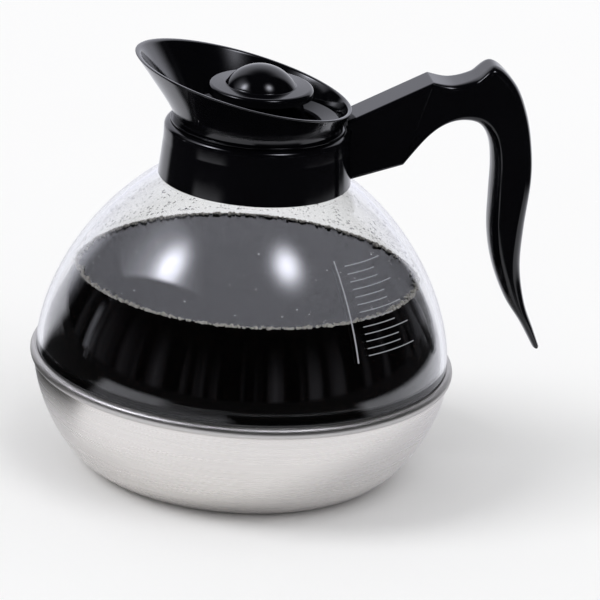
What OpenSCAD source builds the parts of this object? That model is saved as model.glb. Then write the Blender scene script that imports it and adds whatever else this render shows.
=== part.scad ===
// Coffee server carafe: drawn steel base cup, clear bowl, black collar, handle and pouring funnel.
// The origin is on the bowl's axis at the underside of the base.
// +Z is up, the handle points to +X and the spout to -X. Lengths are millimetres.

/* [Base cup] */
// Radius of the flat underside that stands on the warmer
foot_r = 54.5; // [48:0.5:60]
// Radius of the cup wall at the seam
cup_r = 81.2; // [76:0.2:90]
// Height of the seam, at the middle of the rolled bead
seam_z = 43; // [36:0.5:52]
// Roundness of the cup's side: 2 is an ellipse and less is straighter
cup_roundness = 1.61; // [1.4:0.01:2]
// Thickness of the steel sheet
cup_wall = 1; // [0.8:0.1:1.4]
// Radius of the rolled bead's section
bead_r = 2.4; // [2:0.1:3]
// How far the bead stands out from the cup wall
bead_proud = 1.3; // [0.8:0.1:1.8]
// Thickness of the seam gasket
base_gasket_t = 0.7; // [0.5:0.1:1]

/* [Clear bowl] */
// How far the bowl's side stands inside the cup's wall at the seam
bowl_inset = 1; // [0.6:0.1:2]
// Height of the bowl's full curve, from the seam to where it would close
bowl_h = 85; // [75:0.5:100]
// Roundness of the bowl: 2 is an ellipse and less is straighter
bowl_roundness = 1.72; // [1.6:0.01:2]
// Thickness of the bowl wall
bowl_wall = 2.2; // [1.8:0.1:2.8]
// Height of the snap lip at the foot of the bowl
lip_h = 3; // [2:0.1:4]
// How far the snap lip reaches out under the bead
lip_proud = 0.9; // [0.5:0.1:1.2]
// Outer radius of the neck
neck_r = 30; // [27:0.2:31]
// Width of each key on the neck that stops the collar turning
key_w = 5; // [3:0.5:8]
// How far each key stands out from the neck
key_proud = 1.6; // [1:0.1:2.2]
// Height of each key
key_h = 7; // [4:0.5:9]

/* [Collar] */
// Thickness of the collar at its foot
collar_wall = 6.9; // [5:0.1:8]
// How much narrower the collar is at the band round its top, on each side
collar_taper = 1.2; // [0.6:0.1:2]
// Height of that upright band
collar_band_h = 7; // [5:0.1:9]
// Height of the collar
collar_h = 21.5; // [20:0.1:26]
// Radius of the rounded top edge of the collar
collar_edge_r = 2.4; // [1:0.1:3]
// Width of the gasket under the collar
collar_gasket_w = 3.2; // [2.2:0.1:3.4]
// Thinnest height of the gasket under the collar
collar_gasket_t = 1; // [0.8:0.1:1.6]

/* [Funnel] */
// How far the funnel's flange stands inside the collar's band
flange_inset = 2.2; // [1.4:0.1:3]
// Width of the flange outside the flare
flange_w = 1.2; // [0.8:0.1:2]
// Thickness of the flange
flange_t = 0.8; // [0.8:0.1:1.6]
// Slope of the flare far from its bend: radius gained for each unit of height
flare_slope = 0.75; // [0.6:0.01:0.9]
// Size of the bend at the foot of the flare
flare_bend = 4.2; // [2:0.2:8]
// Thickness of the funnel wall
funnel_wall = 1.8; // [1.4:0.1:2.2]
// Height of the rim over the flange, on the axis
rim_rise = 15; // [12:0.1:18]
// Tilt of the rim, higher at the spout
rim_tilt = 12.5; // [8:0.1:14]
// Length of the skirt that goes down into the neck
skirt_h = 12; // [10.5:0.5:15]
// Thickness of the skirt above the ledge
skirt_wall = 2.2; // [1.6:0.1:2.4]
// Width of the ledge that carries the lid
ledge_w = 1.8; // [1.2:0.1:2.2]
// Depth of the ledge below the flange
ledge_drop = 2; // [1.5:0.1:4]
// Radius of the seal ring's section
seal_r = 1; // [0.8:0.1:1.2]

/* [Dome lid] */
// How far the brim stands inside the ledge
brim_inset = 2.95; // [1:0.05:5]
// Width of the brim outside the dome's ball shape
brim_w = 4.5; // [3.6:0.1:6]
// Thickness of the brim
brim_t = 3.4; // [2.4:0.1:4]
// Height of the brim's underside over the ledge
brim_rise = 14; // [11:0.2:17]
// Height of the dome over the brim
dome_rise = 7.8; // [6:0.1:10]
// Thickness of the dome's wall
dome_wall = 2; // [1.4:0.1:2.6]
// Height of the ring that sits on the ledge
ring_h = 3; // [2:0.1:4]
// Width of the ring that sits on the ledge
ring_w = 2.2; // [1.6:0.1:3]
// Number of fins that carry the dome
fins = 4; // [3:1:6]
// Thickness of each fin
fin_t = 1.8; // [1.4:0.1:2.4]

/* [Handle] */
// Width of the arm and the grip
handle_w = 16; // [14:0.5:20]
// Radius of the arm's long edges
arm_edge_r = 1.4; // [1:0.1:2.4]
// Radius of the grip's long edges, away from the crease
grip_edge_r = 4.5; // [3:0.5:5]
// Height of the arm where it meets the collar
arm_root_h = 25; // [21:0.2:27]
// Height of the arm's lower edge over the foot of the collar
arm_root_lift = 2; // [1:0.1:3]
// Length of the arm from the collar to the lower corner of the crease between arm and grip
arm_reach = 19; // [16:0.1:26]
// Height of that corner over the foot of the collar
joint_rise = 7.9; // [4:0.1:11]
// Height of the crease
joint_h = 33.4; // [29:0.2:36]
// How far the top of the crease leans away from the axis
joint_lean = 9.5; // [6:0.5:11]
// How far the tip of the tail stands out from the bowl's side
tail_clear = 37.8; // [32:0.2:50]
// Drop from the top of the crease to the tip of the tail
grip_drop = 110.5; // [98:0.5:120]
// Length of the tenon that goes into the grip
tenon_l = 15; // [11:0.5:16]
// Height of the tenon
tenon_h = 8; // [6.5:0.1:8.6]
// Width of the tenon
tenon_w = 8; // [7:0.5:9]
// Depth of the tenon's upper face below the top of the crease
tenon_drop = 4; // [3.4:0.1:5]

/* [Screws] */
// Radius of the screw shanks
screw_r = 1.75; // [1.4:0.05:2]
// Radius of the screw heads
head_r = 3.2; // [2.8:0.1:3.4]
// Height of the screw heads
head_h = 2.2; // [1.8:0.1:2.4]
// Length of the collar screws below the head
collar_screw_l = 15; // [11:0.5:18]
// Height of the lower collar screw's head over the gasket
collar_screw_lift = 0.6; // [0.4:0.1:1.2]
// Distance between the two collar screws
collar_screw_pitch = 7.4; // [7.2:0.1:8.6]
// Length of the grip screw below the head
grip_screw_l = 9; // [7:0.5:9]

/* [Hidden] */
$fn = 96;

// Overrun of every cut past the face that it opens
overrun = 1;
// Gap between pieces that are lifted off and their seats
seat_gap = 0.3;
// Gap between pieces that slide over each other
slide_gap = 0.35;
// Gap round pieces that are pushed together for good
push_gap = 0.2;
// Steps in each quarter of a curved wall
curve_steps = 28;
// Steps in each rounded edge and in the dome
round_steps = 8;
dome_steps = 16;
// Steps round the rolled bead and round the end of its curl, and the angle where the curl ends
bead_steps = 16;
curl_steps = 4;
curl_end = 225;
// Steps in each rounded corner of the handle's section, and between two of its stations
edge_steps = 4;
station_steps = 5;

// Seam between the cup and the bowl
bowl_r = cup_r - bowl_inset;
bead_mid_r = cup_r + bead_proud - bead_r;
bead_in_r = bead_mid_r - bead_r;
bead_top_z = seam_z + bead_r;
bowl_seat_z = bead_top_z + base_gasket_t;
bowl_skirt_r = bead_in_r - base_gasket_t;
lip_r = bead_in_r + lip_proud;
lip_top_z = seam_z - bead_drop(bead_r, lip_r) - push_gap;
lip_lead = lip_r - bowl_skirt_r;

// Neck and collar
neck_in_r = neck_r - bowl_wall;
collar_bore_r = neck_r + seat_gap;
collar_r = collar_bore_r + collar_wall;
collar_top_r = collar_r - collar_taper;
collar_foot_z = bowl_z(collar_r) + seat_gap;
collar_top_z = collar_foot_z + collar_h;
collar_band_z = collar_top_z - collar_band_h;
neck_top_z = collar_top_z - seat_gap * 2;
gasket_out_r = collar_bore_r + collar_gasket_w;
gasket_top_z = bowl_z(collar_bore_r) + collar_gasket_t;
gasket_steps = 4;
key_foot_z = gasket_top_z + seat_gap;

// Funnel
flange_r = collar_top_r - flange_inset;
flare_r = flange_r - flange_w;
flange_z = collar_top_z + seat_gap;
flange_top_z = flange_z + flange_t;
funnel_skirt_r = neck_in_r - slide_gap - push_gap;
throat_r = funnel_skirt_r - skirt_wall;
ledge_r = throat_r - ledge_w;
ledge_z = flange_z - ledge_drop;
floor_z = flange_top_z + funnel_wall;
skirt_foot_z = flange_z - skirt_h;
rim_z = flange_top_z + rim_rise;
flare_top = flare_height_at_spout() + overrun;
rim_cut = flare_at(flare_top) * 2;
seal_mid_r = neck_in_r - slide_gap - seal_r;
seal_z = skirt_foot_z + seal_r * 3;
groove_r = seal_mid_r - seal_r - push_gap / 2;
groove_h = seal_r * 2 + push_gap;

// Dome lid
ring_z = ledge_z + seat_gap;
ring_top_z = ring_z + ring_h;
ring_r = throat_r - slide_gap;
ring_in_r = ring_r - ring_w;
brim_r = ledge_r - brim_inset;
dome_r = brim_r - brim_w;
brim_z = ledge_z + brim_rise;
brim_top_z = brim_z + brim_t;
// Share of the brim's thickness that its rounded edge takes
brim_edge_share = 0.45;
brim_edge_r = brim_t * brim_edge_share;
dome_mid_z = brim_top_z + dome_rise - dome_r;
dome_foot_angle = asin((brim_top_z - dome_mid_z) / dome_r);
dome_in_r = dome_r - dome_wall;
dome_in_angle = asin((brim_z - dome_mid_z) / dome_in_r);
fin_top_r = brim_r - brim_edge_r;

// Handle
joint_x = collar_r + arm_reach;
grip_reach = bowl_r + tail_clear;
joint_bottom = [joint_x, collar_foot_z + joint_rise];
joint_top = joint_bottom + [joint_lean, joint_h];
root_bottom = [collar_r, collar_foot_z + arm_root_lift];
root_top = root_bottom + [0, arm_root_h];
// The arm starts this share of its length inside the collar, and is then cut to the collar's face
root_share = 0.2;
root_clear_r = flange_r + seat_gap;
// Largest share of a section's half height or half width that its corner radius takes
edge_limit_share = 0.9;
// Stations of the grip after the crease. Each has the outer edge, the inner edge, the width, and how
// far its edges have changed from the arm's radius to the grip's.
// Across, a place is a share of the distance from the crease's lower corner to the tip.
// Down, a place is a share of the drop from the crease's top corner to the tip.
grip_shares = [
    [[0.288, 0.010], [0.136, 0.205], 1, 0.25],
    [[0.432, -0.014], [0.246, 0.158], 1, 0.5],
    [[0.548, -0.058], [0.369, 0.141], 1, 0.6],
    [[0.690, 0.010], [0.482, 0.158], 1, 0.8],
    [[0.781, 0.118], [0.557, 0.220], 1, 1],
    [[0.830, 0.240], [0.586, 0.310], 1, 1],
    [[0.847, 0.365], [0.591, 0.430], 1, 1],
    [[0.827, 0.540], [0.600, 0.555], 0.98, 1],
    [[0.827, 0.685], [0.649, 0.680], 0.92, 1],
    [[0.875, 0.820], [0.745, 0.805], 0.82, 1],
    [[0.947, 0.920], [0.860, 0.900], 0.7, 1],
    [[1.0, 0.992], [0.966, 1.0], 0.5, 1]];

// Tenon and grip screw
tenon_top_z = joint_top[1] - tenon_drop;
tenon_z = tenon_top_z - tenon_h;
tenon_end_x = crease_x(tenon_top_z) + tenon_l;
tenon_root_x = crease_x(tenon_z) - overrun;
grip_screw_x = tenon_end_x - tenon_l / 2;
grip_seat_z = tenon_z - push_gap - screw_r;

// Collar screws
collar_seat_x = collar_bore_r + head_h + seat_gap;
collar_screw_low_z = gasket_top_z + collar_screw_lift + head_r;
collar_screw_heights = [for (k = [0, 1]) collar_screw_low_z + collar_screw_pitch * k];

// Height of the bowl's outer face at radius r
function bowl_z(r) =
    bowl_seat_z + bowl_h * pow(1 - pow(r / bowl_r, bowl_roundness), 1 / bowl_roundness);

// Outer radius of the flare at height u over the flange
function flare_at(u) = flare_r + flare_slope * (sqrt(u * u + flare_bend * flare_bend) - flare_bend);

// Height over the flange where the tilted rim meets the flare at the spout, by repeated steps
function flare_height_at_spout(u = 0, passes = 12) =
    passes == 0 ? u : flare_height_at_spout(rim_rise + tan(rim_tilt) * flare_at(u), passes - 1);

// Distance from the axis to the crease at height z
function crease_x(z) = joint_x + joint_lean * (z - joint_bottom[1]) / joint_h;

// Place of a grip station from its shares across and down
function grip_point(share) =
    [joint_x + (grip_reach - joint_x) * share[0], joint_top[1] - grip_drop * share[1]];

// Points of a rounded quarter from (half_r, 0) towards (0, half_h), between two angles
function quarter(half_r, half_h, roundness, start, end) =
    [for (i = [0 : curve_steps])
        let (a = start + (end - start) * i / curve_steps)
        [half_r * pow(max(cos(a), 0), 2 / roundness), half_h * pow(sin(a), 2 / roundness)]];

// Angle at which such a quarter reaches a radius, or a height
function angle_at_r(half_r, roundness, r) = acos(pow(r / half_r, roundness / 2));
function angle_at_h(half_h, roundness, h) = asin(pow(h / half_h, roundness / 2));

// Points of an arc round a middle, between two angles
function arc(middle, r, start, end, steps) =
    [for (i = [0 : steps])
        let (a = start + (end - start) * i / steps)
        middle + r * [cos(a), sin(a)]];

function reversed(points) = [for (i = [len(points) - 1 : -1 : 0]) points[i]];

// Profile of the cup's side from the underside up to a drop below the seam, set in by a depth
function cup_side(depth, drop) =
    let (half_r = cup_r - foot_r - depth, half_h = seam_z - depth,
        top = angle_at_h(half_h, cup_roundness, drop))
    [for (p = reversed(quarter(half_r, half_h, cup_roundness, top, 90)))
        [foot_r + p[0], seam_z - p[1]]];

// Drop from the bead's middle to where a circle of radius r in it meets the upright at radius x
function bead_drop(r, x) = sqrt(r * r - (x - bead_mid_r) * (x - bead_mid_r));

// Profile of the outside of the collar, from its foot to its top face
function collar_side() = concat(
    [[collar_r, collar_foot_z], [collar_top_r, collar_band_z]],
    arc([collar_top_r, collar_top_z] - collar_edge_r * [1, 1], collar_edge_r, 0, 90, round_steps));

// Smooth curve through a list of stations
function between(a, b, c, d, t) =
    let (square = 2 * a - 5 * b + 4 * c - d, cube = 3 * b - a - 3 * c + d)
    (2 * b + (c - a) * t + square * t * t + cube * t * t * t) / 2;
function smooth(list) = let (last = len(list) - 1) concat(
    [for (i = [0 : last - 1]) for (k = [0 : station_steps - 1])
        between(list[max(i - 1, 0)], list[i], list[i + 1], list[min(i + 2, last)], k / station_steps)],
    [list[last]]);

// One rounded section of the handle, between its outer and inner edge
function section(station) =
    let (outer = station[0], inner = station[1], half_w = handle_w / 2 * station[2],
        middle = (outer + inner) / 2, half_h = norm(outer - inner) / 2,
        up = (outer - inner) / (half_h * 2),
        edge_r = arm_edge_r + (grip_edge_r - arm_edge_r) * station[3],
        r = min(edge_r, half_h * edge_limit_share, half_w * edge_limit_share))
    [for (q = [0 : 3]) for (k = [0 : edge_steps])
        let (a = 90 * (q + k / edge_steps),
            y = (q == 0 || q == 3 ? half_w - r : r - half_w) + r * cos(a),
            v = (q < 2 ? half_h - r : r - half_h) + r * sin(a))
        [middle[0] + up[0] * v, y, middle[1] + up[1] * v]];

// Solid through a list of handle stations
module handle_body(stations) {
    count = 4 * (edge_steps + 1);
    last = len(stations) - 1;
    points = [for (s = stations) each section(s)];
    sides = [for (i = [0 : last - 1]) for (k = [0 : count - 1])
        let (a = i * count + k, b = i * count + (k + 1) % count)
        each [[a, b + count, b], [a, a + count, b + count]]];
    ends = [[for (k = [0 : count - 1]) k], [for (k = [count - 1 : -1 : 0]) last * count + k]];
    polyhedron(points, concat(sides, ends));
}

// Ring of a given section turned about the axis
module turned(points) {
    rotate_extrude() polygon(points);
}

// Pan-head screw with its seat at the origin, its shank along +Z and its head below
module screw(length) {
    cylinder(r = screw_r, h = length);
    translate([0, 0, -head_h]) cylinder(r = head_r, h = head_h);
}

module base_cup() {
    middle = [bead_mid_r, seam_z];
    in_r = bead_r - cup_wall;
    drop = bead_drop(bead_r, cup_r);
    in_drop = bead_drop(in_r, cup_r - cup_wall);
    start = -asin(drop / bead_r);
    in_start = -acos((cup_r - cup_wall - bead_mid_r) / in_r);
    color("silver") turned(concat(
        [[0, 0]], cup_side(0, drop),
        arc(middle, bead_r, start, 180, bead_steps), arc(middle, bead_r, 180, curl_end, curl_steps),
        arc(middle, in_r, curl_end, in_start, bead_steps),
        reversed(cup_side(cup_wall, in_drop)), [[0, cup_wall]]));
}

module base_gasket() {
    color("dimgray") turned([
        [bowl_skirt_r, lip_top_z], [bead_in_r, lip_top_z], [bead_in_r, bead_top_z],
        [bowl_r, bead_top_z], [bowl_r, bowl_seat_z], [bowl_skirt_r, bowl_seat_z]]);
}

module clear_bowl() {
    in_r = bowl_r - bowl_wall;
    in_h = bowl_h - bowl_wall;
    outside = quarter(bowl_r, bowl_h, bowl_roundness, 0, angle_at_r(bowl_r, bowl_roundness, neck_r));
    inside = quarter(in_r, in_h, bowl_roundness, angle_at_h(in_h, bowl_roundness, bowl_wall),
        angle_at_r(in_r, bowl_roundness, neck_in_r));
    lip_foot_z = lip_top_z - lip_h;
    skirt_in_r = bowl_skirt_r - bowl_wall;
    color("lightblue", 0.4) {
        turned(concat(
            [[skirt_in_r, lip_foot_z], [bowl_skirt_r, lip_foot_z], [lip_r, lip_foot_z + lip_lead],
                [lip_r, lip_top_z], [bowl_skirt_r, lip_top_z], [bowl_skirt_r, bowl_seat_z]],
            [for (p = outside) [p[0], bowl_seat_z + p[1]]],
            [[neck_r, neck_top_z], [neck_in_r, neck_top_z]],
            [for (p = reversed(inside)) [p[0], bowl_seat_z + p[1]]],
            [[skirt_in_r, bowl_seat_z + bowl_wall]]));
        for (turn = [90, 270])
            rotate([0, 0, turn]) translate([neck_r - bowl_wall / 2, -key_w / 2, key_foot_z])
                cube([bowl_wall / 2 + key_proud, key_w, key_h]);
    }
}

module collar_gasket() {
    step = collar_gasket_w / gasket_steps;
    color("dimgray") turned(concat(
        [for (i = [0 : gasket_steps]) let (r = collar_bore_r + step * i) [r, bowl_z(r)]],
        [[gasket_out_r, gasket_top_z], [collar_bore_r, gasket_top_z]]));
}

module neck_collar() {
    color("black") difference() {
        turned(concat(
            [[gasket_out_r, gasket_top_z], [gasket_out_r, bowl_z(gasket_out_r) + seat_gap]],
            collar_side(),
            [[collar_bore_r, collar_top_z], [collar_bore_r, gasket_top_z]]));
        for (turn = [90, 270])
            rotate([0, 0, turn])
                translate([neck_r, -key_w / 2 - push_gap, key_foot_z - overrun])
                cube([key_proud + push_gap, key_w + push_gap * 2, key_h + push_gap + overrun]);
        for (z = collar_screw_heights)
            translate([neck_in_r, 0, z]) rotate([0, 90, 0]) {
                cylinder(r = head_r + push_gap, h = collar_seat_x - neck_in_r);
                cylinder(r = screw_r + push_gap, h = collar_r);
            }
    }
}

module collar_screws() {
    color("gray")
        for (z = collar_screw_heights)
            translate([collar_seat_x, 0, z]) rotate([0, 90, 0]) screw(collar_screw_l);
}

module handle_arm() {
    tenon_size = [tenon_end_x - tenon_root_x, tenon_w, tenon_h];
    inward_top = root_top + (root_top - joint_top) * root_share;
    inward_bottom = root_bottom + (root_bottom - joint_bottom) * root_share;
    color("black") difference() {
        union() {
            handle_body([[inward_top, inward_bottom, 1, 0], [joint_top, joint_bottom, 1, 0]]);
            translate([tenon_root_x, -tenon_w / 2, tenon_z]) cube(tenon_size);
        }
        turned([[0, 0], [collar_r, 0], [collar_r, collar_foot_z], [collar_top_r, collar_band_z],
            [collar_top_r, flange_z], [root_clear_r, flange_z], [root_clear_r, joint_top[1]],
            [0, joint_top[1]]]);
        for (z = collar_screw_heights)
            translate([collar_seat_x, 0, z]) rotate([0, 90, 0])
                cylinder(r = screw_r, h = collar_screw_l);
        translate([grip_screw_x, 0, grip_seat_z]) cylinder(r = screw_r, h = grip_screw_l);
    }
}

module handle_grip() {
    stations = [for (s = grip_shares) [grip_point(s[0]), grip_point(s[1]), s[2], s[3]]];
    pocket_size = [tenon_end_x - tenon_root_x, tenon_w, tenon_h] + push_gap * [1, 2, 2];
    color("black") difference() {
        handle_body(smooth(concat([[joint_top, joint_bottom, 1, 0]], stations)));
        translate([tenon_root_x, -tenon_w / 2 - push_gap, tenon_z - push_gap]) cube(pocket_size);
        translate([grip_screw_x, 0, joint_bottom[1]]) {
            cylinder(r = screw_r + push_gap, h = tenon_z - joint_bottom[1]);
            cylinder(r = head_r + push_gap, h = grip_seat_z - joint_bottom[1]);
        }
    }
}

module grip_screw() {
    color("gray") translate([grip_screw_x, 0, grip_seat_z]) screw(grip_screw_l);
}

module pour_funnel() {
    outside = [for (i = [0 : curve_steps]) let (u = flare_top * i / curve_steps)
        [flare_at(u), flange_top_z + u]];
    inside = [for (i = [0 : curve_steps])
        let (u = floor_z - flange_top_z + (flare_top - floor_z + flange_top_z) * i / curve_steps)
        [flare_at(u) - funnel_wall, flange_top_z + u]];
    color("black") difference() {
        turned(concat(
            [[ledge_r, skirt_foot_z], [funnel_skirt_r, skirt_foot_z], [funnel_skirt_r, flange_z],
                [flange_r, flange_z], [flange_r, flange_top_z]],
            outside, reversed(inside),
            [[throat_r, flange_z], [throat_r, ledge_z], [ledge_r, ledge_z]]));
        turned([[groove_r, seal_z - groove_h / 2], [neck_r, seal_z - groove_h / 2],
            [neck_r, seal_z + groove_h / 2], [groove_r, seal_z + groove_h / 2]]);
        translate([0, 0, rim_z]) rotate([0, rim_tilt, 0])
            translate([-rim_cut, -rim_cut, 0]) cube(rim_cut * 2);
    }
}

module funnel_seal() {
    color("dimgray") rotate_extrude() translate([seal_mid_r, seal_z]) circle(seal_r);
}

module dome_lid() {
    fin = [[0, ring_z], [ring_r - ring_w / 2, ring_z], [ring_r - ring_w / 2, ring_top_z],
        [fin_top_r, brim_z + brim_t / 2], [0, brim_z + brim_t / 2]];
    color("black") {
        turned([[ring_in_r, ring_z], [ring_r, ring_z],
            [ring_r, ring_top_z], [ring_in_r, ring_top_z]]);
        for (k = [0 : fins - 1])
            rotate([90, 0, 360 * (k + 1 / 2) / fins]) translate([0, 0, -fin_t / 2])
                linear_extrude(fin_t) polygon(fin);
        turned(concat(
            [[brim_r, brim_z]],
            arc([brim_r - brim_edge_r, brim_top_z - brim_edge_r], brim_edge_r, 0, 90, round_steps),
            arc([0, dome_mid_z], dome_r, dome_foot_angle, 90, dome_steps),
            arc([0, dome_mid_z], dome_in_r, 90, dome_in_angle, dome_steps)));
    }
}

base_cup();
base_gasket();
clear_bowl();
collar_gasket();
neck_collar();
collar_screws();
handle_arm();
handle_grip();
grip_screw();
pour_funnel();
funnel_seal();
dome_lid();
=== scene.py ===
"""Looks of a coffee server carafe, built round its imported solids.

Lengths in this file are millimetres until a mesh is made. +Z is up, +X towards the handle and
-X towards the spout.
"""

import math
import random

import bmesh
import bpy
from mathutils import Matrix, Vector


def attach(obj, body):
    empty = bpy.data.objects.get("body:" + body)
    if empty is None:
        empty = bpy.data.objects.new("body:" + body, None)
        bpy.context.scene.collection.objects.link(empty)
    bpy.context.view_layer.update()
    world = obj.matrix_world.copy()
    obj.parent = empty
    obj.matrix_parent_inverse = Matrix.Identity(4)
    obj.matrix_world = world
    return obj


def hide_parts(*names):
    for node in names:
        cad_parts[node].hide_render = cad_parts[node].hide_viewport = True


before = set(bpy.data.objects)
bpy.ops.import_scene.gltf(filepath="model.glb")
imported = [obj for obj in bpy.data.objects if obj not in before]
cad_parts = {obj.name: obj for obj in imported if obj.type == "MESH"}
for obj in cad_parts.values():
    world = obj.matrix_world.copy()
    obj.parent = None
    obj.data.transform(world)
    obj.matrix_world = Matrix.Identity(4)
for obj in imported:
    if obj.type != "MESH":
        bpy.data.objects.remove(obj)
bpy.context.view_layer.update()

MM = 0.001
SEGMENTS = 192  # sides of a turned piece
SHARP = math.radians(40)  # edges sharper than this stay sharp
SEED = 7
random.seed(SEED)

# Sizes of the solids
FOOT_R = 54.5
CUP_R = 81.2
SEAM_Z = 43.0
CUP_ROUNDNESS = 1.61
CUP_WALL = 1.0
BEAD_R = 2.4
BEAD_PROUD = 1.3
GASKET_T = 0.7
BOWL_INSET = 1.0
BOWL_H = 85.0
BOWL_ROUNDNESS = 1.72
BOWL_WALL = 2.2
LIP_H = 3.0
LIP_PROUD = 0.9
NECK_R = 30.0
KEY_W = 5.0
KEY_PROUD = 1.6
KEY_H = 7.0
COLLAR_WALL = 6.9
COLLAR_TAPER = 1.2
COLLAR_BAND_H = 7.0
COLLAR_H = 21.5
COLLAR_EDGE_R = 2.4
COLLAR_GASKET_W = 3.2
COLLAR_GASKET_T = 1.0
FLANGE_INSET = 2.2
FLANGE_W = 1.2
FLANGE_T = 0.8
FLARE_SLOPE = 0.75
FLARE_BEND = 4.2
FUNNEL_WALL = 1.8
RIM_RISE = 15.0
RIM_TILT = math.radians(12.5)
SKIRT_H = 12.0
SKIRT_WALL = 2.2
LEDGE_W = 1.8
LEDGE_DROP = 2.0
SEAL_R = 1.0
BRIM_INSET = 2.95
BRIM_W = 4.5
BRIM_T = 3.4
BRIM_RISE = 14.0
BRIM_EDGE_SHARE = 0.45
DOME_RISE = 7.8
DOME_WALL = 2.0
RING_H = 3.0
RING_W = 2.2
FINS = 4
FIN_T = 1.8
HANDLE_W = 16.0
ARM_EDGE_R = 1.4
GRIP_EDGE_R = 4.5
ARM_ROOT_H = 25.0
ARM_ROOT_LIFT = 2.0
ARM_REACH = 19.0
JOINT_RISE = 7.9
JOINT_H = 33.4
JOINT_LEAN = 9.5
TAIL_CLEAR = 37.8
GRIP_DROP = 110.5
TENON_L = 15.0
TENON_H = 8.0
TENON_DROP = 4.0
SCREW_R = 1.75
HEAD_R = 3.2
SEAT_GAP = 0.3
SLIDE_GAP = 0.35
PUSH_GAP = 0.2
# Stations of the grip: its outer and its inner edge as shares across and down, then shares of
# the width and of the rounding
GRIP_SHARES = [
    ((0.288, 0.010), (0.136, 0.205), 1, 0.25),
    ((0.432, -0.014), (0.246, 0.158), 1, 0.5),
    ((0.548, -0.058), (0.369, 0.141), 1, 0.6),
    ((0.690, 0.010), (0.482, 0.158), 1, 0.8),
    ((0.781, 0.118), (0.557, 0.220), 1, 1),
    ((0.830, 0.240), (0.586, 0.310), 1, 1),
    ((0.847, 0.365), (0.591, 0.430), 1, 1),
    ((0.827, 0.540), (0.600, 0.555), 0.98, 1),
    ((0.827, 0.685), (0.649, 0.680), 0.92, 1),
    ((0.875, 0.820), (0.745, 0.805), 0.82, 1),
    ((0.947, 0.920), (0.860, 0.900), 0.7, 1),
    ((1.0, 0.992), (0.966, 1.0), 0.5, 1),
]

# Places that follow from them
BEAD_MID_R = CUP_R + BEAD_PROUD - BEAD_R
BEAD_IN_R = BEAD_MID_R - BEAD_R
BOWL_R = CUP_R - BOWL_INSET
BOWL_SEAT_Z = SEAM_Z + BEAD_R + GASKET_T
BOWL_SKIRT_R = BEAD_IN_R - GASKET_T
BOWL_IN_R = BOWL_R - BOWL_WALL
BOWL_IN_H = BOWL_H - BOWL_WALL
LIP_R = BEAD_IN_R + LIP_PROUD
LIP_TOP_Z = SEAM_Z - math.sqrt(BEAD_R**2 - (LIP_R - BEAD_MID_R) ** 2) - PUSH_GAP
NECK_IN_R = NECK_R - BOWL_WALL
COLLAR_BORE_R = NECK_R + SEAT_GAP
COLLAR_R = COLLAR_BORE_R + COLLAR_WALL
COLLAR_TOP_R = COLLAR_R - COLLAR_TAPER
FLANGE_R = COLLAR_TOP_R - FLANGE_INSET
FLARE_R = FLANGE_R - FLANGE_W


def bowl_z(r):
    """Height of the bowl's outer face at radius r."""
    return BOWL_SEAT_Z + BOWL_H * (1 - (r / BOWL_R) ** BOWL_ROUNDNESS) ** (1 / BOWL_ROUNDNESS)


def bowl_in_r(z):
    """Radius of the bowl's inner face at height z."""
    up = max(z - BOWL_SEAT_Z, 0) / BOWL_IN_H
    return BOWL_IN_R * (1 - up**BOWL_ROUNDNESS) ** (1 / BOWL_ROUNDNESS)


def bowl_out_r(z):
    """Radius of the bowl's outer face at height z."""
    up = max(z - BOWL_SEAT_Z, 0) / BOWL_H
    return BOWL_R * (1 - up**BOWL_ROUNDNESS) ** (1 / BOWL_ROUNDNESS)


COLLAR_FOOT_Z = bowl_z(COLLAR_R) + SEAT_GAP
COLLAR_TOP_Z = COLLAR_FOOT_Z + COLLAR_H
COLLAR_BAND_Z = COLLAR_TOP_Z - COLLAR_BAND_H
NECK_TOP_Z = COLLAR_TOP_Z - SEAT_GAP * 2
COLLAR_GASKET_OUT_R = COLLAR_BORE_R + COLLAR_GASKET_W
COLLAR_GASKET_TOP_Z = bowl_z(COLLAR_BORE_R) + COLLAR_GASKET_T
KEY_FOOT_Z = COLLAR_GASKET_TOP_Z + SEAT_GAP
FLANGE_Z = COLLAR_TOP_Z + SEAT_GAP
FLANGE_TOP_Z = FLANGE_Z + FLANGE_T
FUNNEL_SKIRT_R = NECK_IN_R - SLIDE_GAP - PUSH_GAP
THROAT_R = FUNNEL_SKIRT_R - SKIRT_WALL
LEDGE_R = THROAT_R - LEDGE_W
LEDGE_Z = FLANGE_Z - LEDGE_DROP
SKIRT_FOOT_Z = FLANGE_Z - SKIRT_H
SEAL_Z = SKIRT_FOOT_Z + SEAL_R * 3
GROOVE_R = NECK_IN_R - SLIDE_GAP - SEAL_R * 2 - PUSH_GAP / 2
GROOVE_H = SEAL_R * 2 + PUSH_GAP
RING_Z = LEDGE_Z + SEAT_GAP
RING_R = THROAT_R - SLIDE_GAP
BRIM_R = LEDGE_R - BRIM_INSET
BRIM_Z = LEDGE_Z + BRIM_RISE
BRIM_TOP_Z = BRIM_Z + BRIM_T
BRIM_EDGE_R = BRIM_T * BRIM_EDGE_SHARE
DOME_R = BRIM_R - BRIM_W
DOME_MID_Z = BRIM_TOP_Z + DOME_RISE - DOME_R
JOINT_BOTTOM = Vector((COLLAR_R + ARM_REACH, COLLAR_FOOT_Z + JOINT_RISE))
JOINT_TOP = JOINT_BOTTOM + Vector((JOINT_LEAN, JOINT_H))
ROOT_BOTTOM = Vector((COLLAR_R, COLLAR_FOOT_Z + ARM_ROOT_LIFT))
ROOT_TOP = ROOT_BOTTOM + Vector((0, ARM_ROOT_H))
GRIP_REACH = BOWL_R + TAIL_CLEAR
TENON_Z = JOINT_TOP.y - TENON_DROP - TENON_H
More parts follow.
